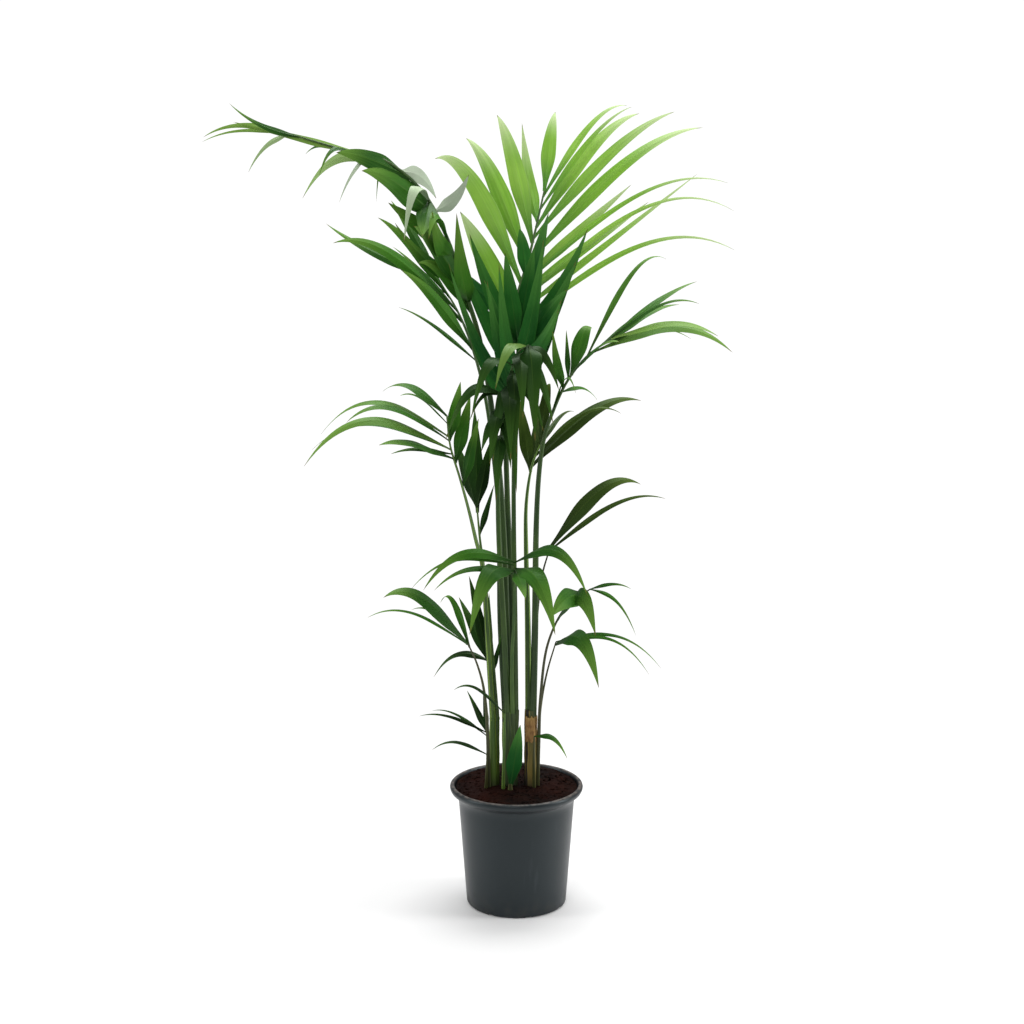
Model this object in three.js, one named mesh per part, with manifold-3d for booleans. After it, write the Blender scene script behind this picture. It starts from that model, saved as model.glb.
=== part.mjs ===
// A kentia palm growing in a round nursery pot.
//
// Millimetres, +Z up. The origin is the centre of the pot's underside, on the surface that the pot
// stands on. +X is to the viewer's right and -Y is the plant's front.
//
// The pot is one moulded shell. Three leafing stems stand in the soil with a few seedlings round
// them. Each frond grew in one piece, stalk and leaflets together, so each is one closed solid. A
// stalk starts just clear of the stem that it grew from, or in a pocket of the soil.
import * as THREE from 'three';
import { mergeVertices } from 'three/addons/utils/BufferGeometryUtils.js';
import Module from 'manifold-3d';

const wasm = await Module();
wasm.setup();

// Pot
const POT_HEIGHT = 224;
const POT_WALL = 1.6;
const POT_FLOOR = 2.5;
const BASE_RADIUS = 90.5;
const NECK_RADIUS = 103.5;
const NECK_HEIGHT = 184;
const RIM_RADIUS = 120;
const POT_FACETS = 40;
const DRAIN_COUNT = 8;
const DRAIN_RADIUS = 6;
const DRAIN_CIRCLE = 66;
const DRAIN_FACETS = 8;
const NOTCH_RADIUS = 7;
const NOTCH_DEPTH = 3.5;
const FIRST_NOTCH = THREE.MathUtils.degToRad(-76);

// Soil
const GAP = 0.3;
const SOIL_TOP = 218;
const SOIL_EDGE = 215.5;
const POCKET_FLOOR = 200;
const POCKET_CLEARANCE = 0.5;

// Stems
const STEM_TOP = 354;
const STEM_FACETS = 10;
const RIGHT_STEM = 26; // how far the right-hand stem stands from the middle

// Dried sheath
const CUFF_BORE = 9.9;
const CUFF_FOOT = 306;
const CUFF_FOOT_RADIUS = 11.6;
const CUFF_TOP = 350;
const CUFF_TOP_RADIUS = 11;
const CUFF_FACETS = 12;

// Fronds
const STALK_FACETS = 5;
const LEAFLET_STEPS = 5;
const STRONG_LIFT = 0.3; // a leaflet that arches more than this twists, and takes finer steps
const FINE_STEPS = 12;
const BLADE_FACETS = 3;
const BLADE_HALF_THICKNESS = 0.9;
const WAIST = 0.3; // how wide a leaflet is where it joins the stalk, against its widest place
const POINT = 0.05; // and at its tip

const DEEP_GREEN = '#234d22';
const LEAF_GREEN = '#33692b';
const FRESH_GREEN = '#7ba544';
const STALK_GREEN = '#5b7a35';
const STEM_OLIVE = '#6d6f3c';
const DRY_TAN = '#9a6f3f';
const SLATE = '#3a3e42';
const PEAT = '#241710';

const vector = (p) => new THREE.Vector3(...p);

// Solids and meshes

function solidFrom(geometry) {
  const bare = geometry.clone();
  for (const name of ['normal', 'uv', 'uv1']) bare.deleteAttribute(name);
  const merged = mergeVertices(bare, 1e-4);
  return new wasm.Manifold(
    new wasm.Mesh({
      numProp: 3,
      vertProperties: Float32Array.from(merged.attributes.position.array),
      triVerts: Uint32Array.from(merged.index.array),
    })
  );
}

function geometryFrom(solid) {
  const { vertProperties, triVerts } = solid.getMesh();
  const geometry = new THREE.BufferGeometry();
  geometry.setAttribute('position', new THREE.BufferAttribute(Float32Array.from(vertProperties), 3));
  geometry.setIndex(new THREE.BufferAttribute(Uint32Array.from(triVerts), 1));
  geometry.computeVertexNormals();
  return geometry;
}

function namedMesh(name, solid, colour, roughness) {
  const material = new THREE.MeshStandardMaterial({ color: colour, roughness, metalness: 0 });
  const mesh = new THREE.Mesh(geometryFrom(solid), material);
  mesh.name = name;
  return mesh;
}

// Lays a capped cylinder along a path. frameAt(s) gives, for s from 0 to 1, the centre, the direction
// across, the direction out of the surface, and the two half sizes there.
function swept(facets, steps, frameAt) {
  const geometry = new THREE.CylinderGeometry(1, 1, 1, facets, steps);
  const place = geometry.attributes.position;
  for (let i = 0; i < place.count; i++) {
    const { centre, across, out, halfWidth, halfThickness } = frameAt(place.getY(i) + 0.5);
    const point = centre
      .clone()
      .addScaledVector(across, place.getX(i) * halfWidth)
      .addScaledVector(out, place.getZ(i) * halfThickness);
    place.setXYZ(i, point.x, point.y, point.z);
  }
  return solidFrom(geometry);
}

// Stalks: a round section that tapers along a smooth curve through its points.

function stalkSolid(points, [baseRadius, tipRadius], facets = STALK_FACETS) {
  const curve = new THREE.CatmullRomCurve3(points.map(vector), false, 'catmullrom');
  const steps = 2 * (points.length - 1);
  const { tangents, normals } = curve.computeFrenetFrames(steps);
  return swept(facets, steps, (s) => {
    const step = Math.round(s * steps);
    const radius = THREE.MathUtils.lerp(baseRadius, tipRadius, s);
    return {
      centre: curve.getPointAt(step / steps),
      across: normals[step],
      out: normals[step].clone().cross(tangents[step]),
      halfWidth: radius,
      halfThickness: radius,
    };
  });
}

// Leaflets: a ridged blade that leaves its stalk, rises by lift times its length and droops again to
// its tip. face is the way that its upper side looks.

class LeafletCurve extends THREE.Curve {
  constructor(base, tip, lift) {
    super();
    this.base = base;
    this.tip = tip;
    this.rise = lift * base.distanceTo(tip);
  }

  getPoint(s) {
    const point = this.base.clone().lerp(this.tip, s);
    point.z += this.rise * 2.6 * (s - s ** 3);
    return point;
  }
}

function bladeWidth(s) {
  const opening = WAIST + (1 - WAIST) * THREE.MathUtils.smoothstep(s, 0, 0.3);
  return Math.max(opening * (1 - s ** 2), POINT);
}

function leafletSolid(base, tip, width, lift, face) {
  const curve = new LeafletCurve(base, tip, lift);
  const chord = tip.clone().sub(base).normalize();
  const side = chord.cross(vector(face)).normalize();
  const reach = Math.sin((2 * Math.PI) / BLADE_FACETS);
  return swept(BLADE_FACETS, lift > STRONG_LIFT ? FINE_STEPS : LEAFLET_STEPS, (s) => {
    const along = curve.getTangent(s);
    const across = side.clone().addScaledVector(along, -side.dot(along)).normalize();
    return {
      centre: curve.getPoint(s),
      across,
      out: across.clone().cross(along),
      halfWidth: (width * bladeWidth(s)) / 2 / reach,
      halfThickness: BLADE_HALF_THICKNESS,
    };
  });
}

function frondSolid({ stalk, radii, face, leaflets }) {
  const curve = new THREE.CatmullRomCurve3(stalk.map(vector), false, 'catmullrom');
  let solid = stalkSolid(stalk, radii);
  for (const [at, tip, width, lift] of leaflets) {
    solid = solid.add(leafletSolid(curve.getPoint(at), vector(tip), width, lift, face));
  }
  return solid;
}

// Fronds, from the tallest to the shortest. A leaflet is
// [place along the stalk from 0 to 1, tip, width, lift].

const fronds = [
  {
    name: 'frond_arching_left',
    colour: LEAF_GREEN,
    radii: [4, 1.3],
    face: [0, -0.9, 0.45],
    stalk: [
      [-14, 8.5, 355], [-18, 12, 525], [-24, 12, 705], [-38, 2, 870], [-63, -18, 1030], [-93, -36, 1130],
      [-116, -52, 1205], [-155, -72, 1285], [-218, -95, 1340], [-291, -115, 1360], [-370, -140, 1385],
    ],
    leaflets: [
      [0.98, [-460, -195, 1435], 14, -0.08],
      [1.0, [-510, -150, 1380], 14, 0.12],
      [1.0, [-520, -95, 1370], 8, 0.08],
      [1.0, [-435, -175, 1325], 12, 0.16],
      [0.92, [-350, -90, 1350], 7, 0.12],
      [0.88, [-320, -180, 1320], 12, 0.26],
      [0.8, [-360, -50, 1275], 20, 0.24],
      [0.64, [-165, -120, 1225], 24, 0.3],
      [0.6, [-145, -150, 1215], 20, 0.4],
      [0.64, [-255, -130, 1325], 42, 0.1],
      [0.74, [-295, -140, 1355], 34, 0.06],
      [0.86, [-460, -160, 1405], 16, 0],
      [0.68, [-155, -150, 1220], 34, 0.04],
      [0.8, [-235, -70, 1270], 8, 0.4],
      [0.58, [-215, -80, 1270], 26, 0],
      [0.5, [-205, -60, 1235], 22, -0.1],
      [0.46, [-100, -105, 1255], 30, -0.2],
      [0.44, [-165, -90, 1170], 22, 0.16],
      [0.48, [-170, -130, 1235], 30, 0.08],
      [0.56, [-140, -130, 1260], 30, -0.2],
      [0.76, [-135, -60, 1275], 26, 0.2],
      [0.68, [-185, -160, 1210], 20, 0.5],
      [0.66, [-80, -60, 1315], 22, -0.16],
      [0.84, [-290, -160, 1275], 8, 0.1],
    ],
  },
  {
    name: 'frond_tall_back',
    colour: FRESH_GREEN,
    radii: [4, 1.4],
    face: [0, -1, 0.35],
    stalk: [
      [-5, 7, 355], [-9, 24, 520], [-15, 40, 700], [-19, 58, 860], [-15, 76, 1000], [-1, 90, 1085],
      [20, 106, 1155], [34, 122, 1210], [49, 142, 1275],
    ],
    leaflets: [
      [0.58, [-100, 130, 1240], 38, 0.04],
      [0.68, [-145, 165, 1330], 32, 0.2],
      [0.74, [-90, 190, 1365], 32, 0.12],
      [0.82, [-35, 215, 1405], 30, 0.1],
      [0.9, [10, 240, 1390], 24, -0.12],
      [1.0, [70, 230, 1410], 24, 0.1],
      [0.98, [200, 270, 1420], 16, 0.14],
      [0.94, [205, 190, 1420], 14, 0.1],
      [0.88, [225, 300, 1405], 22, 0.1],
      [0.84, [285, 240, 1410], 20, 0.08],
      [0.74, [340, 290, 1380], 22, 0.1],
      [0.68, [205, 170, 1285], 18, 0],
      [0.64, [240, 230, 1250], 18, 0],
      [0.62, [200, 120, 1235], 10, 0],
      [0.58, [330, 250, 1300], 16, 0],
      [0.66, [380, 200, 1285], 12, 0.14],
      [0.6, [385, 140, 1240], 12, 0.18],
      [0.54, [395, 190, 1165], 14, 0.16],
    ],
  },
  {
    name: 'frond_tall_centre',
    colour: LEAF_GREEN,
    radii: [3.5, 1.4],
    face: [0, -1, 0.3],
    stalk: [
      [-2, -1.5, 355], [-3, -6, 530], [-5, -8, 715], [-4, -10, 875], [1, -10, 995], [7, -6, 1075],
      [18, 2, 1130],
    ],
    leaflets: [
      [0.8, [55, 30, 1245], 26, 0],
      [0.72, [120, -50, 1225], 26, -0.1],
      [0.7, [85, -80, 1125], 26, 0.02],
      [0.7, [-80, -40, 1215], 26, -0.06],
      [0.64, [-55, -70, 1140], 18, 0],
      [0.76, [-135, 50, 1165], 22, 0.04],
      [0.72, [-20, -60, 1185], 26, 0],
      [0.76, [30, -45, 1195], 24, 0],
      [1.0, [5, 0, 1220], 22, 0.1],
      [0.64, [70, -110, 1095], 26, -0.1],
      [0.56, [-50, -80, 1140], 22, -0.1],
      [0.6, [-110, -40, 1185], 22, 0.02],
      [0.62, [100, -60, 1170], 28, -0.04],
      [0.56, [-115, -74, 1170], 18, -0.12],
      [0.58, [-30, -95, 1170], 24, -0.14],
      [0.6, [75, -100, 1110], 30, -0.08],
      [0.54, [-95, -50, 1105], 24, -0.1],
      [0.62, [45, -90, 1210], 26, -0.1],
    ],
  },
  {
    name: 'frond_upper_left',
    colour: LEAF_GREEN,
    radii: [3.5, 1.2],
    face: [0.2, -0.8, 0.6],
    stalk: [
      [-20, 1.5, 355], [-29, 20, 525], [-31, 32, 705], [-42, 42, 830], [-54, 52, 915], [-71, 66, 985],
      [-93, 84, 1045], [-121, 106, 1095], [-150, 126, 1125],
    ],
    leaflets: [
      [0.94, [-225, 190, 1255], 18, 0.04],
      [0.86, [-245, 120, 1230], 18, 0.08],
      [1.0, [-340, 170, 1215], 18, -0.04],
      [0.76, [-320, 60, 1190], 24, 0.16],
      [0.88, [-280, 220, 1165], 12, 0.02],
      [0.8, [-215, 50, 1185], 14, 0.04],
      [0.66, [-200, 40, 1145], 24, 0.08],
      [0.62, [-210, 130, 1070], 10, 0.06],
    ],
  },
  {
    name: 'frond_right',
    colour: LEAF_GREEN,
    radii: [4, 1.3],
    face: [-0.1, -0.5, 1],
    stalk: [
      [29.5, -3, 355], [33, -10, 530], [34, -16, 680], [38, -22, 785], [47, -30, 860], [64, -42, 915],
      [86, -56, 965], [118, -74, 1010], [159, -98, 1045],
    ],
    leaflets: [
      [0.88, [255, -20, 1170], 16, 0.22],
      [0.98, [305, -50, 1135], 18, 0.06],
      [1.0, [300, -160, 1110], 14, 0.14],
      [0.94, [280, 0, 1090], 18, 0.08],
      [1.0, [330, -190, 1060], 22, 0.12],
      [0.9, [360, -130, 1025], 26, 0.18],
      [0.96, [295, -70, 1040], 14, 0.14],
      [0.8, [170, -150, 1045], 28, 0.12],
      [0.78, [130, -10, 1050], 26, 0.26],
      [0.72, [60, -120, 1060], 20, -0.08],
      [0.76, [85, -30, 1050], 12, 0],
      [0.7, [140, -10, 925], 14, 0.2],
      [0.58, [100, -90, 950], 12, 0.5],
    ],
  },
  {
    name: 'frond_right_back',
    colour: DEEP_GREEN,
    radii: [4, 1.4],
    face: [-0.1, -0.8, 0.6],
    stalk: [[22, 3.5, 355], [20, 14, 525], [17, 24, 650], [17, 30, 730], [26, 38, 795], [42, 52, 835]],
    leaflets: [
      [0.82, [225, 140, 900], 24, 0.14],
      [0.9, [185, 60, 890], 16, 0.2],
      [0.98, [105, 170, 875], 12, 0.12],
      [0.78, [5, 100, 910], 22, 0],
      [0.84, [45, 130, 905], 18, 0],
      [1.0, [60, 80, 940], 18, 0.2],
    ],
  },
  {
    name: 'frond_left',
    colour: LEAF_GREEN,
    radii: [3.2, 1.2],
    face: [0.1, -0.5, 1],
    stalk: [
      [-43, -3, 355], [-51, -14, 495], [-59, -22, 625], [-71, -28, 680], [-83, -36, 735], [-98, -48, 795],
      [-114, -64, 855], [-119, -80, 910],
    ],
    leaflets: [
      [0.9, [-335, -60, 875], 18, 0.26],
      [0.88, [-285, -150, 910], 18, 0.2],
      [0.84, [-360, -125, 830], 22, 0.26],
      [0.84, [-355, -20, 840], 16, 0.18],
      [0.8, [-230, -170, 875], 26, 0.08],
      [0.82, [-215, -90, 845], 16, 0.08],
      [1.0, [-230, -40, 945], 20, 0.22],
      [0.96, [-195, -150, 955], 14, 0.14],
      [0.88, [-95, -90, 970], 22, 0],
      [0.78, [-80, -20, 935], 22, 0],
      [0.68, [-65, -80, 905], 20, 0],
    ],
  },
  {
    name: 'frond_left_back',
    colour: DEEP_GREEN,
    radii: [2.6, 1.4],
    face: [0, -1, 0.4],
    stalk: [[-35.5, 3, 355], [-46, 12, 490], [-58, 22, 615], [-65, 28, 670], [-70, 36, 725]],
    leaflets: [
      [1.0, [-45, 50, 845], 20, 0],
      [0.96, [-75, 110, 890], 24, 0],
      [1.0, [-110, 130, 830], 20, 0],
      [0.78, [-40, 70, 760], 14, 0],
    ],
  },
  {
    name: 'frond_crown_front',
    colour: DEEP_GREEN,
    radii: [3.5, 1.4],
    face: [0, -0.7, 0.7],
    stalk: [
      [-16, -7.5, 355], [-23, -15, 530], [-31, -24, 680], [-32, -36, 790], [-25, -54, 880], [-15, -84, 960],
      [0, -122, 1020], [19, -150, 1040],
    ],
    leaflets: [
      [0.98, [-35, -235, 980], 20, 0.3],
      [1.0, [30, -215, 890], 34, 0.3],
      [0.88, [10, -230, 930], 26, 0.28],
      [0.8, [-75, -190, 925], 22, 0.4],
      [0.76, [45, -120, 890], 20, 0.22],
      [0.72, [-10, -200, 855], 26, 0.28],
      [0.68, [-120, -120, 875], 22, 0.4],
      [0.64, [-45, -160, 840], 26, 0.28],
      [0.6, [-60, -95, 850], 20, 0.3],
      [0.72, [-40, -130, 840], 18, 0.26],
      [0.78, [0, -170, 860], 22, 0.28],
      [0.84, [60, -200, 915], 22, 0.28],
      [0.68, [-80, -110, 905], 16, 0.35],
      [0.56, [-30, -80, 795], 20, 0.25],
      [0.6, [-10, -70, 815], 18, 0.3],
      [0.94, [70, -160, 965], 18, 0.3],
      [0.56, [-35, -90, 765], 24, 0.3],
      [0.64, [0, -80, 775], 24, 0.35],
    ],
  },
  {
    name: 'frond_low_front',
    colour: LEAF_GREEN,
    radii: [2.8, 1.6],
    face: [0, -0.8, 0.6],
    stalk: [[-7, -8, 355], [-8, -22, 460], [-4, -40, 555], [-3, -66, 650]],
    leaflets: [
      [0.94, [-80, -180, 550], 36, 0.34],
      [0.96, [65, -200, 555], 36, 0.26],
      [1.0, [120, -165, 615], 24, 0.32],
      [1.0, [-160, -130, 615], 18, 0.24],
      [0.98, [-185, -40, 595], 12, 0.18],
      [0.92, [-140, -170, 625], 16, 0.14],
      [0.94, [15, -230, 625], 20, 0.04],
    ],
  },
  {
    name: 'frond_pair_right',
    colour: DEEP_GREEN,
    radii: [2, 1.2],
    face: [-0.2, -0.8, 0.6],
    stalk: [[30, 14, POCKET_FLOOR], [30, 16, 355], [34, 24, 485], [44, 38, 590], [60, 48, 650]],
    leaflets: [
      [1.0, [225, 120, 750], 26, 0.2],
      [0.97, [265, 40, 740], 14, 0.14],
    ],
  },
  {
    name: 'frond_low_right',
    colour: LEAF_GREEN,
    radii: [2, 1.2],
    face: [0, -0.9, 0.4],
    stalk: [
      [37.5, -4, POCKET_FLOOR], [40, -6, 306], [43, -14, 390], [54, -36, 490], [84, -58, 565],
      [127, -80, 605],
    ],
    leaflets: [
      [0.72, [135, -150, 540], 38, 0.5],
      [0.96, [60, -150, 575], 36, 0.12],
      [1.0, [200, -60, 600], 8, 0.12],
      [1.0, [205, -130, 535], 9, 0.22],
    ],
  },
  {
    name: 'frond_small_right',
    colour: LEAF_GREEN,
    radii: [1.8, 1.1],
    face: [0, -0.9, 0.4],
    stalk: [[37, 5, POCKET_FLOOR], [40, 14, 310], [44, 18, 365], [55, 24, 425], [71, 30, 480]],
    leaflets: [
      [0.98, [145, -60, 420], 34, 0.42],
      [0.97, [240, 40, 415], 9, 0.24],
      [1.0, [265, 100, 410], 9, 0.18],
    ],
  },
  {
    name: 'frond_low_left',
    colour: LEAF_GREEN,
    radii: [2, 1.2],
    face: [0, -0.6, 0.8],
    stalk: [[-49, -9, POCKET_FLOOR], [-52, -14, 330], [-58, -20, 405], [-70, -26, 455], [-86, -34, 495]],
    leaflets: [
      [1.0, [-230, -100, 595], 34, 0.2],
      [0.95, [-135, 0, 560], 16, 0.4],
      [1.0, [-185, -30, 555], 10, 0.18],
      [0.98, [-255, -140, 570], 12, 0.14],
    ],
  },
  {
    name: 'frond_small_left',
    colour: DEEP_GREEN,
    radii: [2, 1.2],
    face: [0, -0.7, 0.7],
    stalk: [[-35, 13, POCKET_FLOOR], [-36, 17, 310], [-41, 22, 385], [-49, 28, 445]],
    leaflets: [
      [1.0, [-150, 60, 405], 16, 0.26],
      [0.98, [-105, 100, 545], 18, 0.02],
      [0.92, [-85, 40, 600], 18, 0.02],
      [0.84, [-26, -3, 505], 12, 0],
      [1.0, [-50, 130, 545], 16, 0],
    ],
  },
  {
    name: 'seedling_left',
    colour: DEEP_GREEN,
    radii: [1.8, 1.2],
    face: [0, -0.7, 0.7],
    stalk: [[-52, 13, POCKET_FLOOR], [-50, 18, 260], [-50, 24, 295], [-53, 28, 310]],
    leaflets: [
      [1.0, [-90, 60, 380], 14, 0.02],
      [0.9, [-60, 20, 385], 12, 0.1],
      [1.0, [-175, 0, 350], 9, 0.1],
      [0.8, [-155, 80, 335], 7, 0.12],
    ],
  },
  {
    name: 'leaf_front_left',
    colour: DEEP_GREEN,
    radii: [1.8, 1.2],
    face: [0, -0.5, 0.9],
    stalk: [[-24, -22, POCKET_FLOOR], [-22, -27, 315], [-21, -30, 365]],
    leaflets: [[1.0, [-110, -70, 420], 13, 0.2]],
  },
  {
    name: 'leaf_small_left',
    colour: DEEP_GREEN,
    radii: [1.6, 1.1],
    face: [0, -0.5, 0.9],
    stalk: [[-56, -14, POCKET_FLOOR], [-53, -18, 262], [-53, -19, 285]],
    leaflets: [[1.0, [-150, -40, 300], 12, 0.18]],
  },
  {
    name: 'leaf_small_right',
    colour: LEAF_GREEN,
    radii: [1.8, 1.2],
    face: [0, -0.6, 0.8],
    stalk: [[32, -13, POCKET_FLOOR], [31, -19, 285], [32, -22, 320]],
    leaflets: [[1.0, [90, -60, 290], 16, 0.26]],
  },
  {
    name: 'spear_front',
    colour: LEAF_GREEN,
    radii: [4, 3],
    face: [0, -1, 0.1],
    stalk: [[-11, -26, POCKET_FLOOR], [-11, -28, 232]],
    leaflets: [[0.8, [7, -33, 345], 26, 0]],
  },
];

// Stems: the sheaths that wrap round each other at the foot of each plant, as [points, radii].

const stems = {
  stem_centre: [[[-10, -3, POCKET_FLOOR], [-11, -1, 270], [-11, 0, STEM_TOP]], [13.2, 13.4]],
  stem_left: [[[-39, 0, POCKET_FLOOR], [-39, 0, 280], [-39, 0, STEM_TOP]], [9.4, 8.2]],
  stem_right: [
    [[RIGHT_STEM - 1, 0, POCKET_FLOOR], [RIGHT_STEM, 0, 280], [RIGHT_STEM, 0, STEM_TOP]],
    [9.4, 9],
  ],
};

// Pot: the outside from the axis up to the rim, then the inside back down to the axis.

function potSolid() {
  const slope = (NECK_RADIUS - BASE_RADIUS) / NECK_HEIGHT;
  const profile = [
    [0, 0], [BASE_RADIUS - 5, 0], [BASE_RADIUS - 1.5, 1.2], [BASE_RADIUS, 4], [NECK_RADIUS, NECK_HEIGHT],
    [NECK_RADIUS + 1.5, 190], [NECK_RADIUS + 4, 196], [NECK_RADIUS + 8, 202], [RIM_RADIUS - 4.5, 208],
    [RIM_RADIUS - 1, 213], [RIM_RADIUS, 217.5], [RIM_RADIUS - 1.5, 222], [RIM_RADIUS - 5, POT_HEIGHT],
    [RIM_RADIUS - 7.5, 222.5], [RIM_RADIUS - 9, 218], [RIM_RADIUS - 11, 210], [RIM_RADIUS - 14, 202],
    [NECK_RADIUS, 194], [NECK_RADIUS - POT_WALL, NECK_HEIGHT],
    [BASE_RADIUS - POT_WALL + slope * POT_FLOOR, 2 * POT_FLOOR],
    [BASE_RADIUS - 4, POT_FLOOR],
    [0, POT_FLOOR],
  ];
  const shell = new THREE.LatheGeometry(profile.map((p) => new THREE.Vector2(...p)), POT_FACETS);
  shell.rotateX(Math.PI / 2);
  let pot = solidFrom(shell);
  for (let i = 0; i < DRAIN_COUNT; i++) {
    const hole = new THREE.CylinderGeometry(DRAIN_RADIUS, DRAIN_RADIUS, 20, DRAIN_FACETS);
    hole.rotateX(Math.PI / 2);
    hole.translate(DRAIN_CIRCLE, 0, 0);
    const notch = new THREE.CylinderGeometry(NOTCH_RADIUS, NOTCH_RADIUS, 14, DRAIN_FACETS);
    notch.rotateZ(Math.PI / 2);
    notch.translate(BASE_RADIUS, 0, NOTCH_DEPTH - NOTCH_RADIUS);
    for (const cutter of [hole, notch]) {
      cutter.rotateZ(FIRST_NOTCH + (i * 2 * Math.PI) / DRAIN_COUNT);
      pot = pot.subtract(solidFrom(cutter));
    }
  }
  return pot;
}

// Soil: fills the pot to just under its rim, with a pocket for each stalk and stem that stands in it.

function soilSolid() {
  const profile = [
    [0, POT_FLOOR + GAP], [BASE_RADIUS - 4.4, POT_FLOOR + GAP], [BASE_RADIUS - POT_WALL - GAP, 7],
    [NECK_RADIUS - POT_WALL - GAP, NECK_HEIGHT], [NECK_RADIUS - GAP, 194.5], [RIM_RADIUS - 14.4, 202],
    [RIM_RADIUS - 11.4, SOIL_EDGE - 1], [RIM_RADIUS - 13, SOIL_EDGE], [94, SOIL_EDGE + 2.5], [62, SOIL_TOP],
    [0, SOIL_TOP],
  ];
  const body = new THREE.LatheGeometry(profile.map((p) => new THREE.Vector2(...p)), POT_FACETS);
  body.rotateX(Math.PI / 2);
  let soil = solidFrom(body);
  const inSoil = fronds.filter(({ stalk }) => stalk[0][2] === POCKET_FLOOR);
  const standing = inSoil.map(({ stalk, radii }) => [stalk, radii, STALK_FACETS]);
  for (const [points, radii] of Object.values(stems)) standing.push([points, radii, STEM_FACETS]);
  for (const [[foot, next], radii, facets] of standing) {
    const [x, y, z] = foot;
    const pocket = stalkSolid([[x, y, z - GAP], next], radii.map((r) => r + POCKET_CLEARANCE), facets);
    soil = soil.subtract(pocket);
  }
  return soil;
}

// Dried sheath: a loose papery cuff round the top of the right-hand stem.

function drySheathSolid() {
  const cuff = [
    [CUFF_BORE, CUFF_FOOT],
    [CUFF_FOOT_RADIUS, CUFF_FOOT],
    [CUFF_TOP_RADIUS, CUFF_TOP],
    [CUFF_BORE, CUFF_TOP],
    [CUFF_BORE, CUFF_FOOT],
  ];
  const sleeve = new THREE.LatheGeometry(cuff.map((p) => new THREE.Vector2(...p)), CUFF_FACETS);
  sleeve.rotateX(Math.PI / 2);
  sleeve.translate(RIGHT_STEM, 0, 0);
  return solidFrom(sleeve);
}

const group = new THREE.Group();
group.add(namedMesh('pot', potSolid(), SLATE, 0.45));
group.add(namedMesh('potting_soil', soilSolid(), PEAT, 0.95));
for (const [name, [points, radii]] of Object.entries(stems)) {
  group.add(namedMesh(name, stalkSolid(points, radii, STEM_FACETS), STEM_OLIVE, 0.6));
}
group.add(namedMesh('dry_sheath', drySheathSolid(), DRY_TAN, 0.8));
for (const frond of fronds) group.add(namedMesh(frond.name, frondSolid(frond), frond.colour, 0.5));

export default group;
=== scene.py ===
import math
import random

import bpy
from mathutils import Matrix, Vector, noise


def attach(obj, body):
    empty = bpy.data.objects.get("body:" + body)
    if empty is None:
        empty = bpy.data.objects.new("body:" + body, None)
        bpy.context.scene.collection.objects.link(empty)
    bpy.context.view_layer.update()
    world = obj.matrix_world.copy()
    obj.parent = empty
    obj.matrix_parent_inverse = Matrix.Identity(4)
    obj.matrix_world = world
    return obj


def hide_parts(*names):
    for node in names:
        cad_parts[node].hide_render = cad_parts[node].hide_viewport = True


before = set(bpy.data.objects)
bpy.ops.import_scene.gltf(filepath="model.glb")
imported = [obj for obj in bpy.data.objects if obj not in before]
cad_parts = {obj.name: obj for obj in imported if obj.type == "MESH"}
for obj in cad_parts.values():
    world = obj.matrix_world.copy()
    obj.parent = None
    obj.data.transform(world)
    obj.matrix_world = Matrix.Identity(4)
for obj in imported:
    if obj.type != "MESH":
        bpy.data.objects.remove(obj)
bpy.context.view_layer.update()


# ---------------------------------------------------------------------------------------------
# Nursery pot: one injection-moulded shell of recycled polypropylene, dark slate grey with a satin
# face. The lip flares and rolls outwards for stiffness. Water drains through holes in the floor
# and through notches under the foot.
# ---------------------------------------------------------------------------------------------

POT_SIDES = 128
FOOT = [(0.084, 0.0), (0.0872, 0.0006), (0.0895, 0.0022), (0.0905, 0.005)]
WALL = [(0.0905 + 0.013 * i / 8, 0.005 + 0.179 * i / 8) for i in range(1, 9)]
FLARE = [(0.1038, 0.189), (0.1047, 0.1955), (0.107, 0.2013), (0.1104, 0.2057), (0.1144, 0.209)]
ROLL = [(0.1177, 0.2122), (0.1194, 0.2158), (0.12, 0.219), (0.1193, 0.2217), (0.1174, 0.2235)]
CREST = [(0.115, 0.224), (0.1129, 0.2235), (0.1115, 0.2216), (0.1108, 0.2185), (0.1096, 0.213)]
LINING = [
    (0.1072, 0.2078), (0.1046, 0.202), (0.1028, 0.194), (0.102, 0.184), (0.0893, 0.0062), (0.086, 0.0027),
]
NOTCHES = 8
DRAIN_RADIUS, DRAIN_RING, DRAIN_DEPTH = 0.006, 0.066, 0.02
NOTCH_RADIUS, NOTCH_RING, NOTCH_DEPTH, NOTCH_HEIGHT = 0.0085, 0.091, 0.016, -0.0045
FIRST_NOTCH = math.radians(-76)


def deselect():
    if bpy.context.mode != "OBJECT":
        bpy.ops.object.mode_set(mode="OBJECT")
    bpy.ops.object.select_all(action="DESELECT")


def new_piece(name):
    """Names the primitive that was just added and returns it."""
    piece = bpy.context.object
    piece.name = piece.data.name = name
    return piece


def apply_modifier(piece, kind, **settings):
    deselect()
    bpy.context.view_layer.objects.active = piece
    piece.select_set(True)
    modifier = piece.modifiers.new(kind.lower(), kind)
    for key, value in settings.items():
        setattr(modifier, key, value)
    bpy.ops.object.modifier_apply(modifier=modifier.name)


def settle(piece):
    """Puts a piece's place, turn and size into its mesh."""
    deselect()
    bpy.context.view_layer.objects.active = piece
    piece.select_set(True)
    bpy.ops.object.transform_apply(location=True, rotation=True, scale=True)


def shade(piece, angle=40):
    deselect()
    bpy.context.view_layer.objects.active = piece
    piece.select_set(True)
    bpy.ops.object.shade_smooth_by_angle(angle=math.radians(angle))


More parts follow.
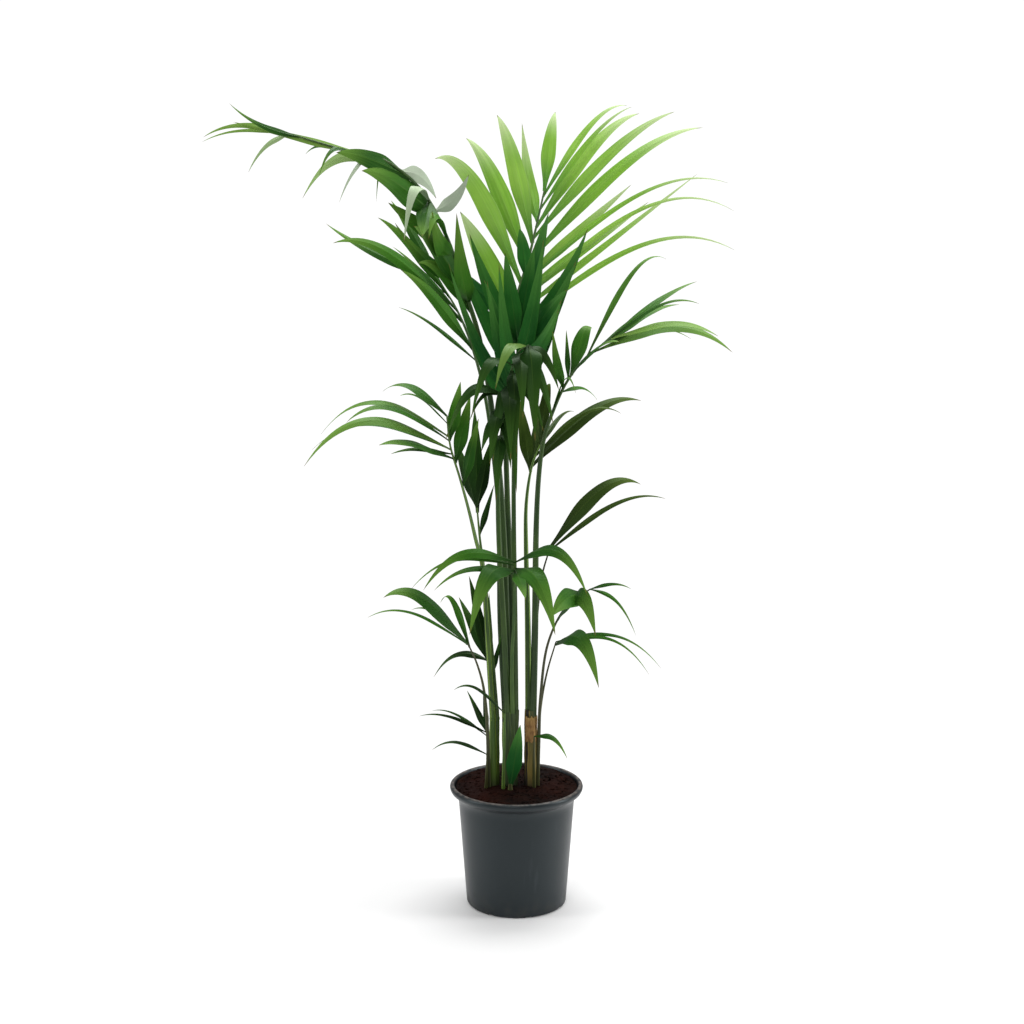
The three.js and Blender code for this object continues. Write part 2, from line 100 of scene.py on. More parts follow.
def spun_up(name, profile, sides):
    """A round shell: a filled circle that is extruded and resized from ring to ring."""
    deselect()
    bpy.ops.mesh.primitive_circle_add(
        vertices=sides, radius=profile[0][0], fill_type="NGON", location=(0, 0, profile[0][1])
    )
    shell = new_piece(name)
    settle(shell)
    bpy.ops.object.mode_set(mode="EDIT")
    bpy.ops.mesh.select_all(action="SELECT")
    for (r0, z0), (r1, z1) in zip(profile, profile[1:]):
        bpy.ops.mesh.extrude_region_move(TRANSFORM_OT_translate={"value": (0, 0, z1 - z0)})
        bpy.ops.transform.resize(value=(r1 / r0, r1 / r0, 1), center_override=(0, 0, z1))
    bpy.ops.mesh.select_all(action="SELECT")
    bpy.ops.mesh.normals_make_consistent(inside=False)
    bpy.ops.object.mode_set(mode="OBJECT")
    return shell


def cut(piece, radius, depth, place, turn):
    """Cuts a round hole. place is its centre and turn its rotation."""
    deselect()
    bpy.ops.mesh.primitive_cylinder_add(
        vertices=32, radius=radius, depth=depth, location=place, rotation=turn
    )
    cutter = bpy.context.object
    apply_modifier(piece, "BOOLEAN", operation="DIFFERENCE", object=cutter, solver="EXACT")
    bpy.data.objects.remove(cutter, do_unlink=True)


pot = spun_up("nursery_pot", FOOT + WALL + FLARE + ROLL + CREST + LINING, POT_SIDES)
for i in range(NOTCHES):
    a = FIRST_NOTCH + i * math.tau / NOTCHES
    drain = (DRAIN_RING * math.cos(a), DRAIN_RING * math.sin(a), 0)
    notch = (NOTCH_RING * math.cos(a), NOTCH_RING * math.sin(a), NOTCH_HEIGHT)
    cut(pot, DRAIN_RADIUS, DRAIN_DEPTH, drain, (0, 0, 0))
    cut(pot, NOTCH_RADIUS, NOTCH_DEPTH, notch, (0, math.pi / 2, a))
shade(pot, 35)


def rgb(red, green, blue):
    """A colour given in 0 to 255 steps, as the linear values that a shader takes."""
    shares = [step / 255 for step in (red, green, blue)]
    return tuple(((share + 0.055) / 1.055) ** 2.4 if share > 0.04 else share / 12.92 for share in shares)


class Value:
    """One output of a node. Expressions on values add Math nodes."""

    def __init__(self, shader, socket):
        self.shader, self.socket = shader, socket

    def maths(self, operation, *terms):
        return self.shader.add("Math", {"operation": operation}, dict(enumerate(terms)))

    def __add__(self, other):
        return self.maths("ADD", self, other)

    __radd__ = __add__

    def __mul__(self, other):
        return self.maths("MULTIPLY", self, other)

    def __sub__(self, other):
        return self.maths("SUBTRACT", self, other)

    def __rsub__(self, other):
        return self.maths("SUBTRACT", other, self)

    def __abs__(self):
        return self.maths("ABSOLUTE", self)

    def between(self, low, high):
        """0 where the value is under low, 1 where it is over high, and smooth between them."""
        settings = {"interpolation_type": "SMOOTHSTEP"}
        return self.shader.add("MapRange", settings, {"Value": self, "From Min": low, "From Max": high})


class Shader:
    """A material under construction."""

    def __init__(self, name):
        self.material = bpy.data.materials.new(name)
        self.material.use_nodes = True
        self.tree = self.material.node_tree
        self.bsdf = self.tree.nodes["Principled BSDF"]
        self.output = self.tree.nodes["Material Output"]

    def add(self, kind, settings=None, inputs=None, output=0):
        """Adds a node, sets it up, fills or links its inputs and returns one of its outputs."""
        node = self.tree.nodes.new("ShaderNode" + kind)
        for key, value in (settings or {}).items():
            setattr(node, key, value)
        for key, value in (inputs or {}).items():
            self.feed(node.inputs[key], value)
        return Value(self, node.outputs[output])

    def feed(self, socket, value):
        if isinstance(value, Value):
            self.tree.links.new(value.socket, socket)
        elif socket.type == "RGBA" and len(value) == 3:
            socket.default_value = (*value, 1)
        else:
            socket.default_value = value

    def place(self):
        return self.add("TexCoord", output="Object")

    def pattern(self, scale, detail=3.0, stretch=None, vector=None):
        """Noise from 0 to 1 over the object's own coordinates, or over vector."""
        vector = vector or self.place()
        if stretch:
            vector = self.add("Mapping", inputs={"Vector": vector, "Scale": stretch})
        return self.add("TexNoise", inputs={"Vector": vector, "Scale": scale, "Detail": detail})

    def mix(self, factor, a, b):
        """Colour a where factor is 0 and colour b where it is 1."""
        node = self.tree.nodes.new("ShaderNodeMix")
        node.data_type = "RGBA"
        for socket, value in zip((node.inputs["Factor"], node.inputs[6], node.inputs[7]), (factor, a, b)):
            self.feed(socket, value)
        return Value(self, node.outputs[2])

    def bump(self, height, strength, distance):
        return self.add("Bump", inputs={"Height": height, "Strength": strength, "Distance": distance})

    def surface(self, **sockets):
        """Fills the Principled node. Underscores stand for the spaces in socket names."""
        for key, value in sockets.items():
            self.feed(self.bsdf.inputs[key.replace("_", " ")], value)
        return self.material


def pot_plastic():
    s = Shader("slate_plastic")
    height = s.add("SeparateXYZ", inputs={"Vector": s.place()}, output=2)
    cloud = s.pattern(14, 4)
    scuffs = s.pattern(60, 6, stretch=(1, 1, 0.12)).between(0.62, 0.78)
    grain = s.pattern(1400, 2)
    dust = (1 - height.between(0.0, 0.05)) * s.pattern(45, 5).between(0.42, 0.7)
    # Painted highlight: a pale pinkish band along the rim's crest, broken into patches, standing in for
    # light catching the top edge.
    rim_highlight = height.between(0.2215, 0.224) * s.pattern(90, 3).between(0.3, 0.6)
    body = s.mix(cloud, rgb(8, 12, 15), rgb(14, 20, 24))
    body = s.mix(scuffs * 0.2, body, rgb(62, 67, 70))
    body = s.mix(dust * 0.25, body, rgb(74, 70, 62))
    body = s.mix(rim_highlight * 0.5, body, rgb(132, 120, 112))
    return s.surface(
        Base_Color=body,
        Roughness=0.33 + cloud * 0.1 + dust * 0.25 + scuffs * 0.12,
        Normal=s.bump(grain * 0.6 + cloud * 0.8, 0.12, 0.001),
        Specular_IOR_Level=0.5,
        Specular_Tint=(0.8, 0.93, 0.97, 1),
    )


pot.data.materials.append(pot_plastic())
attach(pot, "root")
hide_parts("pot")


# ---------------------------------------------------------------------------------------------
# Potting soil: damp dark peat with reddish coir fibre and bark crumbs. It was poured in loose and
# has settled to just under the lip, a little higher round the stems.
# ---------------------------------------------------------------------------------------------

SOIL_CELLS = 110
SOIL_EDGE_RADIUS = 0.1092
SOIL_LEVEL = 0.2186
SOIL_SIDES = [(0.0855, 0.0032), (0.101, 0.184), (0.102, 0.193), (0.1038, 0.2015)]  # radius and height
SOIL_MOUND = 0.003  # how far the middle stands over the edge
SOIL_TILT = 0.022  # rise towards the back, for each metre
CRUMBS = 420
CRUMB_REACH = 0.104

chance = random.Random(7)

deselect()
bpy.ops.mesh.primitive_grid_add(x_subdivisions=SOIL_CELLS, y_subdivisions=SOIL_CELLS, size=2)
soil = new_piece("potting_mix")
bpy.ops.object.mode_set(mode="EDIT")
for level in SOIL_SIDES:
    bpy.ops.mesh.extrude_region_move(TRANSFORM_OT_translate={"value": (0, 0, 1)})
bpy.ops.object.mode_set(mode="OBJECT")
soil.data.flip_normals()


def soil_height(x, y):
    """Height of the soil's surface: a low mound with clods and crumbs."""
    radius = math.hypot(x, y)
    mound = SOIL_MOUND * (1 - (radius / SOIL_EDGE_RADIUS) ** 2)
    clods = 0.0022 * noise.fractal(Vector((x, y, 0.3)) * 45, 1.0, 2.0, 3)
    crumbs = 0.0012 * noise.noise(Vector((x, y, 0.9)) * 210)
    return SOIL_LEVEL + mound + clods + crumbs + SOIL_TILT * y


for vertex in soil.data.vertices:
    u, v, level = vertex.co
    x, y = u * math.sqrt(1 - v * v / 2), v * math.sqrt(1 - u * u / 2)
    if round(level) == len(SOIL_SIDES):
        x, y = x * SOIL_EDGE_RADIUS, y * SOIL_EDGE_RADIUS
        vertex.co = (x, y, soil_height(x, y))
    else:
        radius, height = SOIL_SIDES[round(level)]
        vertex.co = (x * radius, y * radius, height)

crumbs = []
deselect()
bpy.ops.mesh.primitive_ico_sphere_add(subdivisions=1, radius=1)
crumb = new_piece("crumb")
for i in range(CRUMBS):
    angle, radius = chance.uniform(0, math.tau), CRUMB_REACH * math.sqrt(chance.random())
    x, y = radius * math.cos(angle), radius * math.sin(angle)
    size = chance.uniform(0.0009, 0.0026)
    long = chance.uniform(1.0, 2.4)
    copy = bpy.data.objects.new("crumb", crumb.data.copy())
    bpy.context.collection.objects.link(copy)
    for vertex in copy.data.vertices:
        vertex.co *= 1 + 0.35 * noise.noise(vertex.co * 1.7 + Vector((i, 0, 0)))
    copy.location = (x, y, soil_height(x, y) + size * 0.25)
    copy.scale = (size * long, size, size * chance.uniform(0.5, 0.9))
    copy.rotation_euler = (chance.uniform(-0.6, 0.6), chance.uniform(-0.6, 0.6), chance.uniform(0, math.tau))
    crumbs.append(copy)
bpy.data.objects.remove(crumb, do_unlink=True)


def joined(pieces):
    """Joins pieces into the first of them, with each one's place in the mesh."""
    deselect()
    for piece in pieces:
        piece.select_set(True)
    bpy.context.view_layer.objects.active = pieces[0]
    bpy.ops.object.join()
    settle(pieces[0])
    return pieces[0]


soil = joined([soil, *crumbs])
shade(soil, 50)


def peat():
    s = Shader("damp_peat")
    clumps = s.pattern(60, 6)
    fibre = s.pattern(380, 4).between(0.5, 0.75)
    damp = s.pattern(18, 3).between(0.35, 0.65)
    reddish = s.pattern(9, 2).between(0.45, 0.7)
    body = s.mix(clumps.between(0.35, 0.7), rgb(9, 4, 3), rgb(32, 14, 8))
    body = s.mix(reddish * 0.65, body, rgb(56, 18, 9))
    body = s.mix(fibre * 0.4, body, rgb(72, 38, 22))
    body = s.mix(damp * 0.5, body, rgb(9, 5, 4))
    return s.surface(
        Base_Color=body,
        Roughness=0.95 - damp * 0.2,
        Normal=s.bump(clumps + fibre * 0.6, 0.8, 0.002),
        Specular_IOR_Level=0.08,
    )


soil.data.materials.append(peat())
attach(soil, "root")
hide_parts("potting_soil")


# ---------------------------------------------------------------------------------------------
# Stems: each plant's fronds leave the ground as a tight bundle of stalk feet. Every foot is a green
# sheath that clasps the younger ones inside it, with a pale edge where it opens.
# ---------------------------------------------------------------------------------------------

MM = 0.001
STEM_TOP = 362
CENTRE_STEM, LEFT_STEM, RIGHT_STEM = (-10.5, -1), (-39, 0), (25.5, 0)
SHEATH_FOOT, SHEATH_LOW, SHEATH_HIGH = 199, 250, 300  # heights that a sheath's line goes through
FOOT_SPREAD = 0.62  # how far apart the sheaths are at the soil, against their tops


def along_curve(points, share):
    """The place at a share of the way through points, on a smooth curve, and the direction there."""
    last = len(points) - 1
    place = min(max(share, 0), 1) * last
    i = min(int(place), last - 1)
    u = place - i
    b, c = points[i], points[i + 1]
    a = points[i - 1] if i else 2 * b - c
    d = points[i + 2] if i + 2 <= last else 2 * c - b
    bend = 2 * a - 5 * b + 4 * c - d
    swing = d - a + 3 * (b - c)
    centre = b + ((c - a) * u + bend * u**2 + swing * u**3) / 2
    return centre, ((c - a) + 2 * bend * u + 3 * swing * u**2).normalized()


def sheet_form(name, columns, rows):
    """A sheet with a map named blade: u runs across it and v along it."""
    deselect()
    bpy.ops.mesh.primitive_grid_add(x_subdivisions=columns, y_subdivisions=rows, size=2)
    form = new_piece(name)
    form.data.uv_layers[0].name = "blade"
    return form


def copy_of(form, tint):
    copy = bpy.data.objects.new(form.name, form.data.copy())
    bpy.context.collection.objects.link(copy)
    shades = copy.data.attributes.new("tint", "FLOAT", "POINT")
    shades.data.foreach_set("value", [tint] * len(copy.data.vertices))
    return copy


def rolled(form, points, radius_at, front, tint=0.5, groove=0.0, wrap=1.0):
    """Rolls a copy of a sheet into a tube along points. front is the way that its middle looks."""
    tube = copy_of(form, tint)
    front = Vector(front)
    points = [Vector(p) * MM for p in points]
    for vertex in tube.data.vertices:
        angle, share = math.pi * wrap * vertex.co.x, (vertex.co.y + 1) / 2
        centre, along = along_curve(points, share)
        out = (front - along * front.dot(along)).normalized()
        across = along.cross(out)
        radius = radius_at(share) * MM * (1 - groove * max(0, math.cos(angle)) ** 5)
        vertex.co = centre + across * math.sin(angle) * radius + out * math.cos(angle) * radius
    return tube


def close_up(piece):
    """Welds a rolled sheet's seam and fills its ends."""
    deselect()
    bpy.context.view_layer.objects.active = piece
    piece.select_set(True)
    bpy.ops.object.mode_set(mode="EDIT")
    bpy.ops.mesh.select_all(action="SELECT")
    bpy.ops.mesh.remove_doubles(threshold=1e-6)
    bpy.ops.mesh.fill_holes(sides=0)
    bpy.ops.mesh.select_all(action="SELECT")
    bpy.ops.mesh.normals_make_consistent(inside=False)
    bpy.ops.object.mode_set(mode="OBJECT")
    return piece


def blade_map(s):
    """The piece's own map: across and along, each from 0 to 1, and its tint."""
    spread = s.add("UVMap", {"uv_map": "blade"})
    across = s.add("SeparateXYZ", inputs={"Vector": spread}, output=0)
    along = s.add("SeparateXYZ", inputs={"Vector": spread}, output=1)
    return across, along, s.add("Attribute", {"attribute_name": "tint"}, output=2)


def streaks(s, across, along, tint, lines, reach, detail=3.0):
    """Fine lines that run along a blade or a stalk, different on each."""
    vector = s.add("CombineXYZ", inputs={"X": across * lines, "Y": along * reach, "Z": tint * 37})
    return s.pattern(1, detail, vector=vector)


def sheath_skin(name, foot, body, top, edge, strand_shade):
    s = Shader(name)
    across, along, tint = blade_map(s)
    fibre = streaks(s, across, along, tint, 46, 3)
    blotch = s.pattern(70, 4, stretch=(1, 1, 0.3))
    height = s.add("SeparateXYZ", inputs={"Vector": s.place()}, output=2)
    front = abs(across - 0.5)
    lip = (1 - abs(front - 0.17).between(0.012, 0.05)) * height.between(0.225, 0.27)
    shade_side = front.between(0.2, 0.34)
    colour = s.mix(height.between(0.24, 0.35), body, top)
    colour = s.mix(fibre.between(0.35, 0.7) * 0.45, colour, s.mix(0.5, edge, body))
    colour = s.mix(shade_side * 0.45, colour, foot)
    # Painted shade: the strands that their tint picks out are darkened towards the foot colour, standing in
    # for the shade deep in the bundle.
    colour = s.mix(tint.between(0.1, 0.35) * strand_shade, colour, foot)
    colour = s.mix(lip * (1 - tint.between(0.3, 0.8)) * 0.8, colour, edge)
    colour = s.mix((1 - height.between(0.212, 0.25)) * 0.9, colour, s.mix(blotch, foot, rgb(22, 15, 9)))
    return s.surface(
        Base_Color=colour,
        Roughness=0.42 + fibre * 0.2,
        Normal=s.bump(fibre + blotch * 0.4, 0.35, 0.0006),
    )


sheath_form = sheet_form("sheath_form", 20, 26)


def sheath_radius(share, radius, bulge):
    """A sheath swells towards the soil and is a little uneven."""
    return 1.4 * radius + bulge * (1 - share**2) + 0.3 * math.sin(share * 19 + bulge * 5)


def stem(node, middle, feet, skin):
    """One plant's bundle. feet are (x, y, z, radius) of each stalk where it leaves the bundle."""
    strands = []
    for i, (x, y, z, radius) in enumerate(feet):
        low_x = middle[0] + (x - middle[0]) * FOOT_SPREAD
        low_y = middle[1] + (y - middle[1]) * FOOT_SPREAD
        bulge = 2.6 - 0.5 * (i % 3)
        strands.append(
            rolled(
                sheath_form,
                [
                    (low_x, low_y, SHEATH_FOOT), (low_x, low_y, SHEATH_LOW),
                    ((low_x + x) / 2, (low_y + y) / 2, SHEATH_HIGH), (x, y, z),
                ],
                lambda share: sheath_radius(share, radius, bulge),
                (0.15 * math.sin(i * 2.4), -1, 0),
                tint=(i * 0.37) % 1,
                groove=0.12,
            )
        )
    bundle = close_up(joined(strands))
    shade(bundle, 50)
    bundle.data.materials.append(skin)
    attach(bundle, "root")
    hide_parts(node)


# The last number of each sheath skin is how far its picked strands are darkened by painted shade.
stem(
    "stem_centre", CENTRE_STEM,
    [
        (-14, 8.5, STEM_TOP, 5.2), (-5, 7, STEM_TOP, 5.2), (-2, -1.5, STEM_TOP, 4.8),
        (-19.5, 1.5, STEM_TOP, 4.8), (-16, -7, STEM_TOP - 2, 5), (-7, -7.6, STEM_TOP - 4, 3.6),
    ],
    sheath_skin("centre_sheath", rgb(22, 26, 8), rgb(36, 72, 14), rgb(20, 54, 10), rgb(156, 184, 78), 0.35),
)
stem(
    "stem_left", LEFT_STEM,
    [(-43, -2.6, STEM_TOP, 3.7), (-35.5, 2.6, STEM_TOP, 3.3)],
    sheath_skin("left_sheath", rgb(34, 30, 8), rgb(64, 92, 22), rgb(36, 76, 16), rgb(136, 160, 60), 0.3),
)
stem(
    "stem_right", RIGHT_STEM,
    [(29, -2.6, STEM_TOP, 5), (22, 3, STEM_TOP, 5.4)],
    sheath_skin("right_sheath", rgb(14, 10, 4), rgb(124, 108, 48), rgb(20, 52, 10), rgb(150, 132, 66), 0.95),
)


# ---------------------------------------------------------------------------------------------
# Dried sheath: the oldest sheath of the right-hand plant has died to a papery cuff. It has split
# down one side and frayed at the top, and its fibres show.
# ---------------------------------------------------------------------------------------------

CUFF_FOOT, CUFF_TOP = 305, 351
CUFF_MIDDLE = 0.026
CUFF_THICKNESS = 0.0005

cuff_form = sheet_form("cuff_form", 44, 22)
cuff = rolled(
    cuff_form,
    [(26, 0, CUFF_FOOT), (26.2, 0, 320), (26, 0, 336), (26, 0, CUFF_TOP)],
    lambda share: 10.9 + 0.5 * (1 - share) + 0.3 * math.sin(share * 9),
    (0.35, -1, 0),
    wrap=0.93,
)
for vertex in cuff.data.vertices:
    share = (vertex.co.z / MM - CUFF_FOOT) / (CUFF_TOP - CUFF_FOOT)
    angle = math.atan2(vertex.co.y, vertex.co.x - CUFF_MIDDLE)
    ragged = noise.noise(Vector((angle * 3.1, 0, 2))) + 0.6 * noise.noise(Vector((angle * 11, 0, 5)))
    vertex.co.z += MM * 7 * ragged * (share - 0.4)
    crease = 0.05 * noise.noise(Vector((angle * 6, share * 2, 8)))
    vertex.co.x += (vertex.co.x - CUFF_MIDDLE) * crease
    vertex.co.y += vertex.co.y * crease
bpy.data.objects.remove(cuff_form, do_unlink=True)
apply_modifier(cuff, "SOLIDIFY", thickness=CUFF_THICKNESS, offset=0)
shade(cuff, 50)


def dry_paper():
    s = Shader("dry_sheath_paper")
    across, along, tint = blade_map(s)
    fibre = streaks(s, across, along, tint, 90, 4, 5.0)
    patch = s.pattern(110, 4)
    colour = s.mix(fibre.between(0.3, 0.7), rgb(112, 82, 44), rgb(168, 132, 82))
    colour = s.mix(patch.between(0.45, 0.7) * 0.5, colour, rgb(92, 58, 28))
    colour = s.mix(along.between(0.75, 1.0) * 0.5, colour, rgb(150, 128, 70))
    return s.surface(
        Base_Color=colour,
        Roughness=0.75 + fibre * 0.15,
        Normal=s.bump(fibre + patch * 0.5, 0.6, 0.0008),
        Specular_IOR_Level=0.3,
    )


cuff.name = cuff.data.name = "papery_cuff"
cuff.data.materials.append(dry_paper())
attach(cuff, "root")
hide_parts("dry_sheath")


# ---------------------------------------------------------------------------------------------
# Tall fronds: five fronds stand over the rest, each a grooved stalk that carries long leaflets on
# both sides. A leaflet is stiff leaf skin, folded along its rib, dark above and paler below. The
# youngest frond at the back is still yellow-green and lets the light through.
# ---------------------------------------------------------------------------------------------

STALK_SIDES, STALK_ROWS = 12, 46
BLADE_COLUMNS, BLADE_ROWS = 8, 26
BLADE_THICKNESS = 0.0004
SLENDER = 0.017  # a leaflet narrower than this runs out into a long thread
BLADE_WAIST = 0.2  # how wide a leaflet is where it joins the stalk, against its widest place
ARCH = 2.6  # brings the top of share - share**3 up to 1
STALK_SINK = 8  # how far a stalk's foot goes on down into its stem, mm
GROUND_START = 300  # a stalk that starts lower than this stands in the soil, mm
FOOT_SWELL, SWELL_LOSS = 1.95, 0.85  # a stalk's swelling at its foot, and how much of it is gone at the end

stalk_form = sheet_form("stalk_form", STALK_SIDES, STALK_ROWS)
blade_form = sheet_form("blade_form", BLADE_COLUMNS, BLADE_ROWS)


def smooth(value, low, high):
    share = min(max((value - low) / (high - low), 0), 1)
    return share * share * (3 - 2 * share)


def blade_half_width(share, slender):
    """Half of a leaflet's width along it, for a leaflet that is 1 wide."""
    ending = (1 - share) ** 0.85 if slender else 1 - share**2.4
    return 0.62 * (BLADE_WAIST + (1 - BLADE_WAIST) * smooth(share, 0, 0.4)) * ending


def leaflet(base, tip, width, lift, face, tint, number):
    """Lays a blade from base to tip. It rises by lift times its length and its point droops."""
    blade = copy_of(blade_form, tint)
    chord = tip - base
    rise = lift * chord.length
    side = chord.cross(face).normalized()
    turn = 0.25 * math.sin(number * 2.1)
    for vertex in blade.data.vertices:
        u, share = vertex.co.x * (0.2 + 0.8 * abs(vertex.co.x)), (vertex.co.y + 1) / 2
        centre = base + chord * share + Vector((0, 0, rise * ARCH * (share - share**3)))
        along = (chord + Vector((0, 0, rise * ARCH * (1 - 3 * share**2)))).normalized()
        across = (side - along * side.dot(along)).normalized()
        out = across.cross(along)
        twist = turn * share**1.5
        across, out = (
            across * math.cos(twist) + out * math.sin(twist),
            out * math.cos(twist) - across * math.sin(twist),
        )
        half = width * blade_half_width(share, width < SLENDER)
        fold = (0.36 - 0.24 * smooth(share, 0.05, 0.6)) * half * abs(u) ** 1.15
        ripple = 0.03 * half * u * u * math.sin(share * 17 + number * 3 + (u > 0) * 1.3)
        rib = 0.0005 * (1 - share) * (1 - smooth(abs(u), 0, 0.12))
        vertex.co = centre + across * u * half * 0.985 + out * (rib - fold + ripple)
    return blade


def leaf_skin(name, base, body, bright, end, through, share, under=False):
    """A leaflet's face: base to end along it, body and bright mixed by leaflet, lit from behind."""
    s = Shader(name)
    across, along, tint = blade_map(s)
    edge = abs(across * 2 - 1)
    veins = streaks(s, across, along, tint, 60, 2.2, 2.0)
    pleats = streaks(s, across, along, tint, 17, 0.8, 1.0)
    cloud = s.pattern(16, 3)
    colour = s.mix(tint.between(0.1, 0.9), body, bright)
    colour = s.mix(cloud.between(0.35, 0.7) * 0.35, colour, s.mix(0.5, base, body))
    colour = s.mix(1 - along.between(0.02, 0.4), colour, base)
    colour = s.mix(along.between(0.5, 0.95), colour, end)
    colour = s.mix(veins.between(0.35, 0.75) * 0.22, colour, end)
    colour = s.mix(pleats.between(0.4, 0.7) * 0.22, colour, base)
    rib = (1 - edge.between(0.03, 0.1)) * (1 - along.between(0.5, 0.9))
    colour = s.mix(rib * 0.16, colour, s.mix(0.5, end, rgb(150, 176, 84)))
    colour = s.mix(edge.between(0.94, 1.0) * 0.25, colour, end)
    # Painted highlight: leaflets with a tint over 1 are painted pale yellow-green and then grey-white,
    # standing in for the glare of light off their faces.
    colour = s.mix(tint.between(1.0, 1.7), colour, rgb(140, 178, 84))
    colour = s.mix(tint.between(1.65, 2.0), colour, rgb(188, 200, 180))
    colour = s.mix(along.between(0.95, 0.995), colour, rgb(112, 92, 50))
    material = s.surface(
        Base_Color=colour,
        Roughness=(0.55 if under else 0.36) + veins * 0.1,
        Normal=s.bump(pleats, 0.1 if under else 0.08, 0.0004),
        Specular_IOR_Level=0.12 if under else 0.3,
        Specular_Tint=(0.42, 0.8, 0.3, 1),
    )
    glow = s.add("BsdfTranslucent", inputs={"Color": through})
    lit = s.add("MixShader", inputs={0: share, 1: Value(s, s.bsdf.outputs[0]), 2: glow})
    s.feed(s.output.inputs["Surface"], lit)
    return material


def stalk_skin(name, foot, body, edge):
    s = Shader(name)
    across, along, tint = blade_map(s)
    fibre = streaks(s, across, along, tint, 34, 14)
    cloud = s.pattern(26, 3, stretch=(1, 1, 0.35))
    off_middle = abs(across - 0.5)
    line = 1 - abs(off_middle - 0.15).between(0.01, 0.05)
    colour = s.mix(along.between(0.05, 0.6), foot, body)
    colour = s.mix(cloud.between(0.4, 0.65) * 0.4, colour, s.mix(0.4, body, edge))
    colour = s.mix(fibre.between(0.4, 0.75) * 0.25, colour, edge)
    colour = s.mix(tint.between(0.2, 0.9) * 0.5, colour, foot)
    colour = s.mix(line * (1 - tint.between(0.2, 0.7)) * 0.75, colour, edge)
    return s.surface(
        Base_Color=colour, Roughness=0.36 + fibre * 0.16, Normal=s.bump(fibre + cloud, 0.25, 0.0005)
    )


GREEN_TOP = leaf_skin(
    "green_leaf", rgb(10, 46, 12), rgb(26, 76, 18), rgb(60, 118, 30), rgb(104, 146, 56),
    (0.16, 0.5, 0.03), 0.14,
)
GREEN_UNDER = leaf_skin(
    "green_leaf_under", rgb(22, 60, 20), rgb(38, 88, 26), rgb(70, 122, 38), rgb(100, 140, 54),
    (0.16, 0.5, 0.03), 0.14, under=True,
)
DEEP_TOP = leaf_skin(
    "deep_leaf", rgb(6, 50, 22), rgb(20, 84, 34), rgb(46, 116, 44), rgb(78, 134, 58), (0.14, 0.5, 0.06), 0.14
)
DEEP_UNDER = leaf_skin(
    "deep_leaf_under", rgb(14, 58, 28), rgb(30, 90, 40), rgb(56, 118, 50), rgb(86, 134, 64),
    (0.14, 0.5, 0.06), 0.14, under=True,
)
# This pair is painted shade: a darkened copy of the green leaf, with less light through it, for the fronds
# and small leaves that stand in shade in and under the crown.
SHADED_TOP = leaf_skin(
    "shaded_leaf", rgb(4, 18, 5), rgb(10, 30, 8), rgb(24, 58, 14), rgb(50, 84, 24), (0.06, 0.24, 0.01), 0.05
)
SHADED_UNDER = leaf_skin(
    "shaded_leaf_under", rgb(8, 22, 7), rgb(14, 36, 11), rgb(32, 62, 18), rgb(58, 86, 30),
    (0.06, 0.24, 0.01), 0.05, under=True,
)
OLIVE_TOP = leaf_skin(
    "olive_leaf", rgb(22, 34, 10), rgb(40, 58, 16), rgb(58, 80, 24), rgb(78, 98, 38), (0.16, 0.3, 0.03), 0.08
)
OLIVE_UNDER = leaf_skin(
    "olive_leaf_under", rgb(28, 40, 14), rgb(46, 64, 20), rgb(64, 86, 30), rgb(82, 102, 44),
    (0.16, 0.3, 0.03), 0.08, under=True,
)
FRESH_TOP = leaf_skin(
    "fresh_leaf", rgb(40, 116, 28), rgb(136, 190, 58), rgb(164, 208, 88), rgb(220, 232, 186),
    (0.6, 0.86, 0.2), 0.38,
)
FRESH_UNDER = leaf_skin(
    "fresh_leaf_under", rgb(40, 116, 32), rgb(136, 188, 58), rgb(160, 204, 82), rgb(206, 226, 166),
    (0.6, 0.86, 0.16), 0.36, under=True,
)
GREEN_STALK = stalk_skin("green_stalk", rgb(16, 46, 10), rgb(38, 80, 16), rgb(140, 174, 72))
BROWN_STALK = stalk_skin("brown_stalk", rgb(34, 38, 12), rgb(48, 50, 20), rgb(96, 100, 44))
GREEN, DEEP, SHADED = (GREEN_TOP, GREEN_UNDER), (DEEP_TOP, DEEP_UNDER), (SHADED_TOP, SHADED_UNDER)
OLIVE, FRESH = (OLIVE_TOP, OLIVE_UNDER), (FRESH_TOP, FRESH_UNDER)


def frond(node, stalk, radii, face, leaflets, leaf=GREEN, skin=GREEN_STALK, glare=None):
    """One frond. A leaflet is (place along the stalk, tip, width, lift), in millimetres.

    glare holds how strongly some of its leaflets, by their number, are painted pale: a painted highlight for
    light glancing off them.
    """
    face, glare = Vector(face), glare or {}
    route = [Vector(p) * MM for p in stalk]
    blades = []
    for number, (at, tip, width, lift) in enumerate(leaflets):
        base = along_curve(route, at)[0]
        # A tint over 1 carries a leaflet's painted highlight to the leaf skin.
        tint = 1 + glare[number] if number in glare else number * 0.618 % 1
        blades.append(leaflet(base, Vector(tip) * MM, width * MM, lift, face, tint, number + len(stalk)))
    piece = joined(blades)
    piece.name = piece.data.name = "leafy_" + node
    for finish in (*leaf, skin):
        piece.data.materials.append(finish)
    apply_modifier(piece, "SOLIDIFY", thickness=BLADE_THICKNESS, offset=0, material_offset=1)
    path = list(stalk)
    if stalk[0][2] > GROUND_START:
        start, along = along_curve(route, 0)
        path.insert(0, tuple((start - along * STALK_SINK * MM) / MM))
    tube = rolled(
        stalk_form, path,
        lambda share: (radii[0] + (radii[1] - radii[0]) * share) * (FOOT_SWELL - SWELL_LOSS * share),
        face, groove=0.3, tint=len(leaflets) * 0.37 % 1,
    )
    close_up(tube)
    tube.data.materials.append(skin)
    piece = joined([piece, tube])
    shade(piece, 50)
    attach(piece, "root")
    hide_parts(node)


